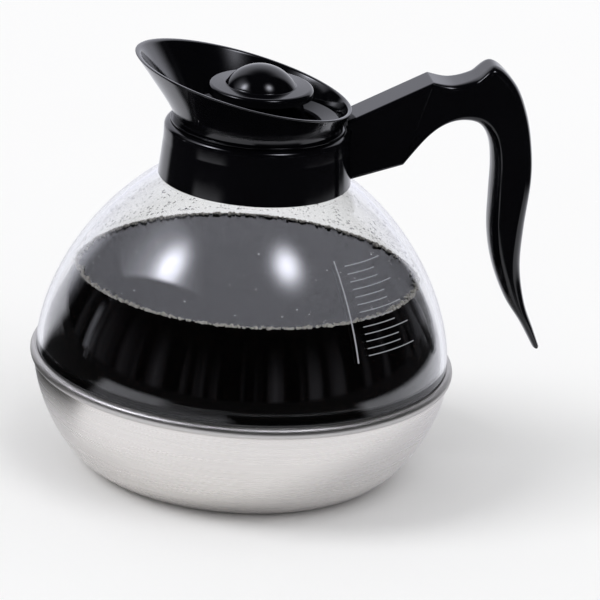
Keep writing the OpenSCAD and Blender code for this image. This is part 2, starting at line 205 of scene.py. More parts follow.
TENON_END_X = (
    JOINT_BOTTOM.x + JOINT_LEAN * (JOINT_TOP.y - TENON_DROP - JOINT_BOTTOM.y) / JOINT_H + TENON_L
)
GRIP_SCREW_X = TENON_END_X - TENON_L / 2
GRIP_SEAT_Z = TENON_Z - PUSH_GAP - SCREW_R

# Small steps that only the meshes have
CREASE = 0.12
SKIN = 0.03

# What the photograph shows besides the solids
COFFEE_Z = 79.0
COFFEE_GAP = 2.6
COFFEE_TAPER = 26.0
COFFEE_FOOT_GAP = 0.15
VIEW_TURN = math.radians(10)


def turn_view(vector):
    """A direction given as right, away from the camera and up, in the part's frame."""
    x, y, z = vector
    c, s = math.cos(VIEW_TURN), math.sin(VIEW_TURN)
    return Vector((x * c + y * s, -x * s + y * c, z))


RIGHT = turn_view((1, 0, 0))
AWAY = turn_view((0, 1, 0))
KEY_LAMP = turn_view((-0.662, -0.192, 0.724)).normalized()
FILL_LAMP = turn_view((0.363, -0.347, 0.865)).normalized()
# Ways in from the edges of the pale panel round the key lamp, and where each edge starts and ends
PANEL_SIDES = (
    (turn_view((0.435, 0.567, 0.700)), -0.015, 0.025),
    (turn_view((0.451, 0.0, 0.893)), -0.015, 0.025),
    (turn_view((-0.82, 0.0, -0.572)), -0.15, 0.25),
)


# Curves


def quarter(half_r, half_h, roundness, start, end, steps):
    """Points of a rounded quarter from (half_r, 0) towards (0, half_h), between two angles."""
    points = []
    for i in range(steps + 1):
        a = start + (end - start) * i / steps
        points.append(
            (
                half_r * max(math.cos(a), 0) ** (2 / roundness),
                half_h * max(math.sin(a), 0) ** (2 / roundness),
            )
        )
    return points


def arc(middle, r, start, end, steps):
    """Points of an arc round a middle, between two angles in degrees."""
    points = []
    for i in range(steps + 1):
        a = math.radians(start + (end - start) * i / steps)
        points.append((middle[0] + r * math.cos(a), middle[1] + r * math.sin(a)))
    return points


def bend(start, corner, end, t):
    """A point of the curve from start to end that is drawn towards a corner."""
    return tuple(start * (1 - t) ** 2 + corner * 2 * t * (1 - t) + end * t**2)


def rounded(points, r, steps=4):
    """A path with its inner corners rounded to radius r. Its two ends stay."""
    path = [points[0]]
    for before, corner, after in zip(points, points[1:], points[2:]):
        c = Vector(corner)
        a, b = Vector(before) - c, Vector(after) - c
        reach = min(r, a.length / 2, b.length / 2)
        start, end = c + a.normalized() * reach, c + b.normalized() * reach
        path += [bend(start, c, end, i / steps) for i in range(steps + 1)]
    return path + [points[-1]]


# Meshes


def shade_smooth(mesh, sharp):
    """Smooths a mesh, but for edges sharper than an angle."""
    mesh.polygons.foreach_set("use_smooth", [True] * len(mesh.polygons))
    mesh.set_sharp_from_angle(angle=sharp)


def make_piece(name, vertices, faces, sharp=SHARP):
    """An object from points in millimetres, smooth but for edges sharper than an angle."""
    mesh = bpy.data.meshes.new(name)
    mesh.from_pydata([Vector(v) * MM for v in vertices], [], faces)
    b = bmesh.new()
    b.from_mesh(mesh)
    bmesh.ops.recalc_face_normals(b, faces=b.faces)
    b.to_mesh(mesh)
    b.free()
    shade_smooth(mesh, sharp)
    piece = bpy.data.objects.new(name, mesh)
    bpy.context.scene.collection.objects.link(piece)
    return piece


def combine(piece, tool, operation):
    """Joins a tool's form to a piece or takes it out of it, and deletes the tool."""
    change = piece.modifiers.new("change", "BOOLEAN")
    change.operation = operation
    change.solver = "EXACT"
    change.object = tool
    bpy.context.view_layer.update()
    evaluated = piece.evaluated_get(bpy.context.evaluated_depsgraph_get())
    mesh = bpy.data.meshes.new_from_object(evaluated)
    piece.modifiers.clear()
    piece.data = mesh
    bpy.data.objects.remove(tool)
    shade_smooth(mesh, SHARP)


def turned_parts(profile, closed):
    """Vertices and faces of a profile of (radius, height) points turned about the axis."""
    on_axis = 1e-6
    vertices, faces, rings = [], [], []
    for r, z in profile:
        if r < on_axis:
            rings.append([len(vertices)] * SEGMENTS)
            vertices.append((0, 0, z))
        else:
            first = len(vertices)
            rings.append([first + k for k in range(SEGMENTS)])
            for k in range(SEGMENTS):
                a = 2 * math.pi * k / SEGMENTS
                vertices.append((r * math.cos(a), r * math.sin(a), z))
    pairs = list(zip(rings, rings[1:]))
    if closed:
        pairs.append((rings[-1], rings[0]))
    for low, high in pairs:
        for k in range(SEGMENTS):
            n = (k + 1) % SEGMENTS
            corners = []
            for v in (low[k], low[n], high[n], high[k]):
                if v not in corners:
                    corners.append(v)
            if len(corners) > 2:
                faces.append(corners)
    return vertices, faces


def join_parts(parts):
    """One list of vertices and one of faces from several."""
    vertices, faces = [], []
    for part_vertices, part_faces in parts:
        first = len(vertices)
        vertices += part_vertices
        faces += [[first + v for v in face] for face in part_faces]
    return vertices, faces


def block_parts(low, high):
    """Vertices and faces of a block between two corners."""
    vertices = [
        (x, y, z) for x in (low[0], high[0]) for y in (low[1], high[1]) for z in (low[2], high[2])
    ]
    faces = [[0, 1, 3, 2], [4, 6, 7, 5], [0, 4, 5, 1], [2, 3, 7, 6], [0, 2, 6, 4], [1, 5, 7, 3]]
    return vertices, faces


def turn_z(vertices, angle):
    """Points turned about the axis."""
    spin = Matrix.Rotation(angle, 3, "Z")
    return [tuple(spin @ Vector(v)) for v in vertices]


def balls(name, places, detail):
    """One object of many small balls.

    A place is a middle, three half sizes and the way that the third of them points.
    """
    seed = bmesh.new()
    bmesh.ops.create_icosphere(seed, subdivisions=detail, radius=1)
    ball_vertices = [v.co.copy() for v in seed.verts]
    ball_faces = [[v.index for v in f.verts] for f in seed.faces]
    seed.free()
    parts = []
    for middle, sizes, facing in places:
        spin = Vector(facing).to_track_quat("Z", "Y")
        m = Vector(middle)
        scaled = []
        for v in ball_vertices:
            point = Vector((v.x * sizes[0], v.y * sizes[1], v.z * sizes[2]))
            scaled.append(tuple(m + spin @ point))
        parts.append((scaled, ball_faces))
    return make_piece(name, *join_parts(parts), sharp=math.pi)


# Materials


class Graph:
    """Makes the nodes of one material or world."""

    def __init__(self, tree):
        self.tree = tree
        tree.nodes.clear()

    def fill(self, socket, value):
        """Links a socket to another one, or sets its constant."""
        if isinstance(value, bpy.types.NodeSocket):
            self.tree.links.new(value, socket)
        else:
            socket.default_value = value

    def add(self, kind, inputs=None, **settings):
        """A node with its settings made and its inputs filled."""
        node = self.tree.nodes.new(kind)
        for key, value in settings.items():
            setattr(node, key, value)
        for key, value in (inputs or {}).items():
            self.fill(node.inputs[key], value)
        return node

    def math(self, operation, a, b=0.0):
        """The result of one operation on two numbers."""
        return self.add("ShaderNodeMath", {0: a, 1: b}, operation=operation).outputs[0]

    def ramp(self, value, low, high, start, end, smooth=False):
        """The value's place between low and high, as a number between start and end."""
        node = self.add(
            "ShaderNodeMapRange",
            {"Value": value, "From Min": low, "From Max": high, "To Min": start, "To Max": end},
            interpolation_type="SMOOTHSTEP" if smooth else "LINEAR",
        )
        return node.outputs[0]

    def blend(self, share, a, b):
        """A colour between two."""
        node = self.add("ShaderNodeMix", data_type="RGBA")
        for key, value in (("Factor_Float", share), ("A_Color", a), ("B_Color", b)):
            self.fill(next(s for s in node.inputs if s.identifier == key), value)
        return next(s for s in node.outputs if s.identifier == "Result_Color")

    def place(self):
        """The place on the object."""
        return self.add("ShaderNodeTexCoord").outputs["Object"]

    def along(self, vector, direction):
        """How far a vector reaches along a fixed direction."""
        inputs = {0: vector, 1: tuple(direction)}
        node = self.add("ShaderNodeVectorMath", inputs, operation="DOT_PRODUCT")
        return node.outputs["Value"]

    def noise(self, scale, detail=3.0, stretch=(1, 1, 1)):
        """Clouds fixed to the object."""
        inputs = {"Vector": self.place(), "Scale": stretch}
        mapped = self.add("ShaderNodeMapping", inputs).outputs[0]
        node = self.add("ShaderNodeTexNoise", {"Vector": mapped, "Scale": scale, "Detail": detail})
        return node.outputs["Fac"]

    def bump(self, height, strength, distance):
        """A normal that follows a height."""
        inputs = {"Height": height, "Strength": strength, "Distance": distance}
        return self.add("ShaderNodeBump", inputs).outputs[0]

    def in_gloss(self):
        """1 where a reflection shows the surface or the world, and 0 elsewhere."""
        reflections = self.add("ShaderNodeLightPath").outputs["Glossy Depth"]
        return self.math("GREATER_THAN", reflections, 0.5)


def feed(graph, shader, **values):
    """Fills a shader's sockets. Their names have underscores for spaces."""
    for key, value in values.items():
        graph.fill(shader.inputs[key.replace("_", " ")], value)


def new_material(name, **values):
    """A material with its shader's constants set, and the graph to add more to it."""
    material = bpy.data.materials.new(name)
    material.use_nodes = True
    graph = Graph(material.node_tree)
    shader = graph.add("ShaderNodeBsdfPrincipled")
    feed(graph, shader, **values)
    graph.add("ShaderNodeOutputMaterial", {"Surface": shader.outputs[0]})
    return material, graph, shader


CLOUDS = (0.3, 0.7)  # most of a noise lies between these
GRAIN_DEPTH = 0.0001  # metres


def mottled(name, scale, colours, roughness, grain=None, **values):
    """A material in soft clouds of two colours and two roughnesses.

    A grain is the scale and the strength of a fine bump.
    """
    material, g, shader = new_material(name, **values)
    cloud = g.noise(scale)
    feed(
        g,
        shader,
        Base_Color=g.blend(cloud, *colours),
        Roughness=g.ramp(cloud, *CLOUDS, *roughness),
    )
    if grain:
        feed(g, shader, Normal=g.bump(g.noise(grain[0]), grain[1], GRAIN_DEPTH))
    return material


def black_plastic(name, ior, roughness):
    """Glossy black plastic with a faint grain."""
    material, g, shader = new_material(name, IOR=ior)
    cloud, gloss, grain = g.noise(60.0), g.noise(220.0), g.noise(2600.0, detail=2.0)
    feed(
        g,
        shader,
        Base_Color=g.blend(cloud, (0.0008, 0.0008, 0.0012, 1), (0.002, 0.002, 0.0028, 1)),
        Roughness=g.ramp(gloss, *CLOUDS, *roughness),
        Normal=g.bump(grain, strength=0.04, distance=GRAIN_DEPTH),
    )
    return material


def steel():
    """Satin steel with fine turned lines, rougher on the rolled bead, which also gets a darker
    colour: painted shade that dims its highlight.
    """
    line_range, line_share, line_depth = (0.52, 0.74), 0.14, 0.0002
    smoothest, roughest, bead_rougher = 0.25, 0.31, 0.15
    # The bead's colour is painted shade: darker than the steel so that the bead's highlight shows
    # dimmer.
    line_colour, bead_shade_colour = (0.55, 0.53, 0.50, 1), (0.60, 0.585, 0.56, 1)
    material, g, shader = new_material("drawn_steel", Metallic=1.0, Anisotropic=0.4)
    lines = g.noise(9.0, detail=5.0, stretch=(1, 1, 240))
    height = g.add("ShaderNodeSeparateXYZ", {0: g.place()}).outputs[2]
    bead_foot_z = (SEAM_Z - BEAD_R) * MM
    bead = g.ramp(height, bead_foot_z, bead_foot_z + MM, 0.0, 1.0)
    pale = g.blend(g.noise(22.0), (0.79, 0.76, 0.71, 1), (0.86, 0.83, 0.78, 1))
    pale = g.blend(g.ramp(lines, *line_range, 0.0, line_share), pale, line_colour)
    satin = g.ramp(lines, *CLOUDS, smoothest, roughest)
    feed(
        g,
        shader,
        # Painted shade: the bead gets its darker colour here.
        Base_Color=g.blend(bead, pale, bead_shade_colour),
        Roughness=g.math("ADD", satin, g.ramp(bead, 0.0, 1.0, 0.0, bead_rougher)),
        Normal=g.bump(lines, strength=0.012, distance=line_depth),
        Tangent=g.add("ShaderNodeTangent", direction_type="RADIAL", axis="Z").outputs[0],
    )
    return material


def screw_steel():
    """Plain steel with turned lines."""
    material, g, shader = new_material("screw_steel", Metallic=1.0)
    lines = g.noise(30.0, stretch=(1, 1, 60))
    feed(
        g,
        shader,
        Base_Color=g.blend(lines, (0.5, 0.5, 0.5, 1), (0.66, 0.66, 0.65, 1)),
        Roughness=g.ramp(lines, *CLOUDS, 0.25, 0.4),
        Normal=g.bump(lines, strength=0.1, distance=GRAIN_DEPTH),
    )
    return material


def clear_plastic():
    """Clear plastic with a touch of haze in places."""
    material, g, shader = new_material("clear_plastic", IOR=1.49, Transmission_Weight=1.0)
    haze, haze_range, roughest = g.noise(70.0), (0.35, 0.75), 0.03
    feed(
        g,
        shader,
        Base_Color=g.blend(haze, (0.965, 0.97, 0.975, 1), (0.985, 0.985, 0.985, 1)),
        Roughness=g.ramp(haze, *haze_range, 0.0, roughest),
    )
    return material


def dress(piece, material, body, replaces=None):
    """Gives a new piece its material and body, and says what it stands for."""
    piece.data.materials.clear()
    piece.data.materials.append(material)
    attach(piece, body)
    if replaces:
        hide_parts(replaces)


# Cup and bowl


def cup_side(depth, drop, steps):
    """Profile of the cup's side, set in by a depth, from the underside to a drop under the seam."""
    half_r, half_h = CUP_R - FOOT_R - depth, SEAM_Z - depth
    top = math.asin((drop / half_h) ** (CUP_ROUNDNESS / 2))
    points = quarter(half_r, half_h, CUP_ROUNDNESS, top, math.pi / 2, steps)
    return [(FOOT_R + r, SEAM_Z - h) for r, h in reversed(points)]


def bead_drop(r, x):
    """Drop from the bead's middle to where a circle of radius r round it is x from the axis."""
    return math.sqrt(r * r - (x - BEAD_MID_R) ** 2)


def base_cup():
    """The cup: underside, side, rolled bead and inside."""
    side_steps, bead_steps, curl_steps, curl_end = 64, 40, 30, 225
    middle = (BEAD_MID_R, SEAM_Z)
    in_r = BEAD_R - CUP_WALL
    drop = bead_drop(BEAD_R, CUP_R)
    in_drop = bead_drop(in_r, CUP_R - CUP_WALL)
    start = -math.degrees(math.asin(drop / BEAD_R))
    in_start = -math.degrees(math.acos((CUP_R - CUP_WALL - BEAD_MID_R) / in_r))
    under = [(0, 0), (FOOT_R / 3, 0), (FOOT_R * 2 / 3, 0)]
    outside = under + cup_side(0, drop, side_steps)
    bead = arc(middle, BEAD_R - SKIN, start, curl_end, bead_steps)
    curl = arc(middle, in_r, curl_end, in_start, curl_steps)
    inside = list(reversed(cup_side(CUP_WALL, in_drop, side_steps)))
    inside += [(FOOT_R / 2, CUP_WALL), (0, CUP_WALL)]
    return make_piece("steel_cup", *turned_parts(outside + bead + curl + inside, False))


def clear_bowl():
    """The bowl with its neck, the lip under the bead and two keys for the collar."""
    wall_steps = 96
    lip_foot_z = LIP_TOP_Z - LIP_H
    skirt_in_r = BOWL_SKIRT_R - BOWL_WALL
    lead = LIP_R - BOWL_SKIRT_R
    end = math.acos((NECK_R / BOWL_R) ** (BOWL_ROUNDNESS / 2))
    outside = quarter(BOWL_R, BOWL_H, BOWL_ROUNDNESS, 0, end, wall_steps)
    in_start = math.asin((BOWL_WALL / BOWL_IN_H) ** (BOWL_ROUNDNESS / 2))
    in_end = math.acos((NECK_IN_R / BOWL_IN_R) ** (BOWL_ROUNDNESS / 2))
    inside = quarter(BOWL_IN_R, BOWL_IN_H, BOWL_ROUNDNESS, in_start, in_end, wall_steps)
    profile = [
        (skirt_in_r, lip_foot_z),
        (BOWL_SKIRT_R, lip_foot_z),
        (LIP_R, lip_foot_z + lead),
        (LIP_R, LIP_TOP_Z),
        (BOWL_SKIRT_R, LIP_TOP_Z),
        (BOWL_SKIRT_R, BOWL_SEAT_Z),
    ]
    profile += [(r, BOWL_SEAT_Z + h) for r, h in outside]
    profile += [(NECK_R, NECK_TOP_Z), (NECK_IN_R, NECK_TOP_Z)]
    profile += [(r, BOWL_SEAT_Z + h) for r, h in reversed(inside)]
    profile += [(skirt_in_r, BOWL_SEAT_Z + BOWL_WALL)]
    parts = [turned_parts(profile, True)]
    for side in (1, -1):
        low = (-KEY_W / 2, NECK_R * side, KEY_FOOT_Z)
        high = (KEY_W / 2, (NECK_R + KEY_PROUD) * side, KEY_FOOT_Z + KEY_H)
        parts.append(block_parts(low, high))
    return make_piece("bowl_shell", *join_parts(parts))


def coffee_r(z):
    """Radius of the coffee in the bowl: close to the wall below, drawing in towards the surface."""
    t = min(max(1 - (COFFEE_Z - z) / COFFEE_TAPER, 0), 1)
    share = t * t * (3 - 2 * t)
    return bowl_in_r(z) - COFFEE_FOOT_GAP - (COFFEE_GAP - COFFEE_FOOT_GAP) * share


def coffee():
    """The coffee in the cup and bowl, with a low meniscus at its edge."""
    gap, rim_drop, seat_lift = 0.6, 1.0, 1.0
    side_steps, wall_steps, meniscus_steps = 40, 24, 8
    meniscus_h, meniscus_w = 0.5, 3.0
    surface_shares = (0.8, 0.55, 0.3, 0)
    skirt_r = BOWL_SKIRT_R - BOWL_WALL - gap
    under = [(r, z) for r, z in cup_side(CUP_WALL + gap, rim_drop, side_steps) if r < skirt_r]
    profile = [(0, under[0][1])] + under + [(skirt_r, SEAM_Z)]
    low = BOWL_SEAT_Z + BOWL_WALL + seat_lift
    for i in range(wall_steps + 1):
        z = low + (COFFEE_Z - low) * i / wall_steps
        profile.append((coffee_r(z), z))
    edge_r = profile[-1][0]
    profile.append((edge_r, COFFEE_Z + meniscus_h))
    for i in range(1, meniscus_steps + 1):
        t = i / meniscus_steps
        profile.append((edge_r - meniscus_w * t, COFFEE_Z + meniscus_h * (1 - t) ** 3))
    profile += [(edge_r * share, COFFEE_Z) for share in surface_shares]
    return make_piece("coffee", *turned_parts(profile, False), sharp=math.radians(60))


def random_size(middle, spread, smallest, largest):
    """A random half size. Its logarithm has the middle and the spread."""
    return min(max(random.lognormvariate(middle, spread), smallest), largest)


def foam_ring():
    """Small bubbles along the edge of the coffee."""
    count, past_edge, scatter, flatness = 1500, 0.8, 0.75, 0.9
    lift, lowest, highest = 0.4, -0.2, 0.4
    edge_r = coffee_r(COFFEE_Z)
    places = []
    for _ in range(count):
        a = random.uniform(0, 2 * math.pi)
        size = random_size(middle=-0.95, spread=0.4, smallest=0.18, largest=0.8)
        r = edge_r + past_edge - abs(random.gauss(0, scatter)) - size
        z = COFFEE_Z + lift + random.uniform(lowest, highest) * size
        middle = (r * math.cos(a), r * math.sin(a), z)
        places.append((middle, (size, size, size * flatness), (0, 0, 1)))
    return balls("foam", places, detail=2)


def condensation():
    """Drops on the inside of the bowl above the coffee, mostly at the back and fewer higher up."""
    count, foot_z, reach, thinning = 1100, COFFEE_Z + 2.0, 26.0, 1.7
    back_from, front_share = -0.15, 0.06
    flatness, clearance, step = 0.4, 0.03, 0.1
    places = []
    while len(places) < count:
        a = random.uniform(0, 2 * math.pi)
        z = foot_z + reach * random.random() ** thinning
        size = random_size(middle=-1.15, spread=0.35, smallest=0.18, largest=0.6)
        at_back = AWAY.x * math.cos(a) + AWAY.y * math.sin(a) > back_from
        if not at_back and random.random() > front_share:
            continue
        slope = (bowl_in_r(z + step) - bowl_in_r(z - step)) / (2 * step)
        inward = Vector((-math.cos(a), -math.sin(a), slope)).normalized()
        height = size * flatness
        wall = Vector((bowl_in_r(z) * math.cos(a), bowl_in_r(z) * math.sin(a), z))
        places.append((wall + inward * (height + clearance), (size, size, height), inward))
    return balls("condensation", places, detail=2)


def printed_strip(a0, a1, z0, z1, across, up):
    """Vertices and faces of a thin layer on the bowl between two angles and two heights."""
    lift, ink = 0.03, 0.05
    vertices, faces = [], []
    for layer in (lift, lift + ink):
        for i in range(across + 1):
            for j in range(up + 1):
                a = a0 + (a1 - a0) * i / across
                z = z0 + (z1 - z0) * j / up
                r = bowl_out_r(z) + layer
                vertices.append((r * math.sin(a), -r * math.cos(a), z))
    row, count = up + 1, (across + 1) * (up + 1)
    for i in range(across):
        for j in range(up):
            q = [i * row + j, (i + 1) * row + j, (i + 1) * row + j + 1, i * row + j + 1]
            faces += [q, [v + count for v in reversed(q)]]
    rim = list(range(up + 1))
    rim += [i * row + up for i in range(1, across + 1)]
    rim += [across * row + j for j in range(up - 1, -1, -1)]
    rim += [i * row for i in range(across - 1, 0, -1)]
    for v, n in zip(rim, rim[1:] + rim[:1]):
        faces.append([v, n, n + count, v + count])
    return vertices, faces


def tick_scale():
    """A plain printed scale on the bowl: one upright line and ticks beside it."""
    line = math.radians(35.5) - VIEW_TURN
    line_half, line_past, line_steps = math.radians(0.25), 2.0, 24
    foot_z, top_z, ticks, long_every = 69.0, 99.0, 13, 3
    start, tick_h, tick_steps = line + math.radians(4), 0.3, 16
    long_tick, short_tick = math.radians(20), math.radians(14)
    low_z, high_z = foot_z - line_past, top_z + line_past
    parts = [printed_strip(line - line_half, line + line_half, low_z, high_z, 1, line_steps)]
    for k in range(ticks):
        z = foot_z + (top_z - foot_z) * k / (ticks - 1)
        end = start + (short_tick if k % long_every else long_tick)
        parts.append(printed_strip(start, end, z - tick_h / 2, z + tick_h / 2, tick_steps, 1))
    return make_piece("tick_scale", *join_parts(parts))


# Collar, funnel and lid


def neck_collar():
    """The collar: a cone, an upright band and a rounded shoulder."""
    edge_steps, corner_r = 12, 0.4
    edge_middle = (COLLAR_TOP_R - COLLAR_EDGE_R, COLLAR_TOP_Z - COLLAR_EDGE_R)
    shoulder = arc(edge_middle, COLLAR_EDGE_R, 0, 90, edge_steps)
    side = [
        (COLLAR_BORE_R, COLLAR_GASKET_TOP_Z),
        (COLLAR_GASKET_OUT_R, COLLAR_GASKET_TOP_Z),
        (COLLAR_GASKET_OUT_R, bowl_z(COLLAR_GASKET_OUT_R) + SEAT_GAP),
        (COLLAR_R, COLLAR_FOOT_Z),
        (COLLAR_TOP_R, COLLAR_BAND_Z),
        shoulder[0],
    ]
    profile = rounded(side, corner_r) + shoulder[1:] + [(COLLAR_BORE_R, COLLAR_TOP_Z)]
    return make_piece("collar", *turned_parts(profile, True))


def flare_at(u):
    """Outer radius of the flare at height u over the flange."""
    return FLARE_R + FLARE_SLOPE * (math.sqrt(u * u + FLARE_BEND**2) - FLARE_BEND)


def rim_height(a, wall):
    """Height over the flange where the tilted rim meets a face of the flare, at an angle a."""
    rounds = 30
    u = RIM_RISE
    for _ in range(rounds):
        u = RIM_RISE - math.tan(RIM_TILT) * (flare_at(u) - wall) * math.cos(a)
    return u


def pour_funnel():
    """The funnel, with its rim cut by a tilted plane and its lip rounded."""
    wall_steps, lip, lip_steps, corner_r, corner_steps = 40, 0.55, 5, 0.3, 3
    floor_u = FUNNEL_WALL
    skirt = [
        (THROAT_R, FLANGE_Z),
        (THROAT_R, LEDGE_Z),
        (LEDGE_R, LEDGE_Z),
        (LEDGE_R, SKIRT_FOOT_Z),
        (FUNNEL_SKIRT_R, SKIRT_FOOT_Z),
        (FUNNEL_SKIRT_R, SEAL_Z - GROOVE_H / 2),
        (GROOVE_R, SEAL_Z - GROOVE_H / 2),
        (GROOVE_R, SEAL_Z + GROOVE_H / 2),
        (FUNNEL_SKIRT_R, SEAL_Z + GROOVE_H / 2),
        (FUNNEL_SKIRT_R, FLANGE_Z),
        (FLANGE_R, FLANGE_Z),
        (FLANGE_R, FLANGE_TOP_Z),
        (FLARE_R, FLANGE_TOP_Z),
    ]
    skirt = rounded(skirt, corner_r, corner_steps)
    vertices, faces = [], []
    for k in range(SEGMENTS):
        a = 2 * math.pi * k / SEGMENTS
        top, in_top = rim_height(a, 0), rim_height(a, FUNNEL_WALL)
        lip_u, in_lip_u = top - lip, in_top - lip
        profile = list(skirt[:-1])
        for i in range(wall_steps + 1):
            u = lip_u * i / wall_steps
            profile.append((flare_at(u), FLANGE_TOP_Z + u))
        start = Vector(profile[-1])
        end = Vector((flare_at(in_lip_u) - FUNNEL_WALL, FLANGE_TOP_Z + in_lip_u))
        edge = Vector((flare_at(top), FLANGE_TOP_Z + top))
        in_edge = Vector((flare_at(in_top) - FUNNEL_WALL, FLANGE_TOP_Z + in_top))
        middle = (edge + in_edge) / 2
        for first, corner, last in ((start, edge, middle), (middle, in_edge, end)):
            profile += [bend(first, corner, last, i / lip_steps) for i in range(1, lip_steps + 1)]
        for i in range(1, wall_steps + 1):
            u = in_lip_u + (floor_u - in_lip_u) * i / wall_steps
            profile.append((flare_at(u) - FUNNEL_WALL, FLANGE_TOP_Z + u))
        count = len(profile)
        vertices += [(r * math.cos(a), r * math.sin(a), z) for r, z in profile]
    for k in range(SEGMENTS):
        n = (k + 1) % SEGMENTS
        for i in range(count):
            j = (i + 1) % count
            faces.append([k * count + i, n * count + i, n * count + j, k * count + j])
    return make_piece("funnel", vertices, faces)


def dome_lid():
    """The lid: brim and dome in one turned shell, crossed blades and the ring that they carry."""
    edge_steps, dome_steps, crease_r = 10, 24, 0.8
    dome_in_r = DOME_R - DOME_WALL
    foot = math.degrees(math.asin((BRIM_TOP_Z - DOME_MID_Z) / DOME_R))
    in_foot = math.degrees(math.asin((BRIM_Z - DOME_MID_Z) / dome_in_r))
    edge_middle = (BRIM_R - BRIM_EDGE_R, BRIM_TOP_Z - BRIM_EDGE_R)
    brim = arc(edge_middle, BRIM_EDGE_R, 0, 90, edge_steps)
    dome = arc((0, DOME_MID_Z), DOME_R, foot, 90, dome_steps)
    crease = rounded([brim[-1], dome[0], dome[1]], crease_r)
    inner = arc((0, DOME_MID_Z), dome_in_r, 90, in_foot, dome_steps)
    dome[-1], inner[0] = (0, dome[-1][1]), (0, inner[0][1])
    under = inner + [(BRIM_R - BRIM_EDGE_R, BRIM_Z), (BRIM_R, BRIM_Z)]
    piece = make_piece("lid", *turned_parts(under + brim + crease[1:] + dome[2:], False))
    ring_in_r, ring_top_z = RING_R - RING_W, RING_Z + RING_H
    ring = [(ring_in_r, RING_Z), (RING_R, RING_Z), (RING_R, ring_top_z), (ring_in_r, ring_top_z)]
    combine(piece, make_piece("ring_tool", *turned_parts(ring, True)), "UNION")
    reach, top_r, top_z = RING_R - RING_W / 2, BRIM_R - BRIM_EDGE_R, BRIM_Z + BRIM_T / 2
    half = [(reach, RING_Z), (reach, ring_top_z), (top_r, top_z)]
    outline = half + [(-r, z) for r, z in reversed(half)]
    count = len(outline)
    for k in range(FINS // 2):
        blade = [(r, side * FIN_T / 2, z) for side in (-1, 1) for r, z in outline]
        faces = [list(range(count)), [count + i for i in reversed(range(count))]]
        for i in range(count):
            j = (i + 1) % count
            faces.append([i, i + count, j + count, j])
        turned = turn_z(blade, 2 * math.pi * (k + 0.5) / FINS)
        combine(piece, make_piece("blade_tool", turned, faces), "UNION")
    return piece


# Handle


def section(outer, inner, width_share, edge_share, inset=0.0):
    """One rounded section of the handle between its outer and inner edge, drawn in by an inset."""
    edge_steps, guard, crown, most = 8, 0.04, 0.55, 0.9
    half_w = HANDLE_W / 2 * width_share - inset
    middle = (outer + inner) / 2
    half_h = (outer - inner).length / 2 - inset
    up = (outer - inner).normalized()
    edge_r = ARM_EDGE_R + (GRIP_EDGE_R - ARM_EDGE_R) * edge_share
    edge_h = min(edge_r, half_h * most)
    edge_w = min(edge_r * (1 + crown * edge_share), half_w * most)
    corners = []
    for q, (y_side, v_side) in enumerate(((1, 1), (-1, 1), (-1, -1), (1, -1))):
        unit = arc((0, 0), 1, 90 * q, 90 * (q + 1), edge_steps)
        y_mid, v_mid = (half_w - edge_w) * y_side, (half_h - edge_h) * v_side
        corners.append([(y_mid + edge_w * c, v_mid + edge_h * s) for c, s in unit])
    flat = []
    for corner, following in zip(corners, corners[1:] + corners[:1]):
        start, end = Vector(corner[-1]), Vector(following[0])
        flat += corner + [tuple(start.lerp(end, guard)), tuple(start.lerp(end, 1 - guard))]
    return [(middle.x + up.x * v, y, middle.y + up.y * v) for y, v in flat]


def loft(sections):
    """Vertices and faces of a solid through sections with the same number of points."""
    count, last = len(sections[0]), len(sections) - 1
    vertices = [p for s in sections for p in s]
    faces = []
    for i in range(last):
        for k in range(count):
            n = (k + 1) % count
            low, high = i * count, (i + 1) * count
            faces += [[low + k, low + n, high + n], [low + k, high + n, high + k]]
    faces.append(list(reversed(range(count))))
    faces.append([last * count + k for k in range(count)])
    return vertices, faces


def between(a, b, c, d, t):
    """Smooth curve from b to c."""
    square, cube = 2 * a - 5 * b + 4 * c - d, 3 * b - a - 3 * c + d
    return (2 * b + (c - a) * t + square * t * t + cube * t**3) / 2


def handle_arm():
    """The arm from the collar's face to the crease."""
    root = [Vector(p) for p in section(ROOT_TOP, ROOT_BOTTOM, 1, 0)]
    far = [Vector(p) for p in section(JOINT_TOP, JOINT_BOTTOM, 1, 0)]
    inside_share, crease_share = -0.5, CREASE / ARM_REACH
    shares = (inside_share, 0.3, 0.5, 0.75, 1 - 2 * crease_share, 1 - crease_share)
    sections = [[tuple(a.lerp(b, t)) for a, b in zip(root, far)] for t in shares]
    sections.append(section(JOINT_TOP, JOINT_BOTTOM, 1, 0, CREASE))
    piece = make_piece("handle_arm_skin", *loft(sections))
    clear_r, clear_top_z = FLANGE_R + SEAT_GAP + SKIN, JOINT_TOP.y + HANDLE_W
    profile = [
        (0, 0),
        (COLLAR_R, 0),
        (COLLAR_R, COLLAR_FOOT_Z),
        (COLLAR_TOP_R, COLLAR_BAND_Z),
        (COLLAR_TOP_R, FLANGE_Z),
        (clear_r, FLANGE_Z),
        (clear_r, clear_top_z),
        (0, clear_top_z),
    ]
    combine(piece, make_piece("root_tool", *turned_parts(profile, False)), "DIFFERENCE")
    return piece


def grip_point(share):
    """Place of a grip station from its shares across and down."""
    return Vector(
        (
            JOINT_BOTTOM.x + (GRIP_REACH - JOINT_BOTTOM.x) * share[0],
            JOINT_TOP.y - GRIP_DROP * share[1],
        )
    )


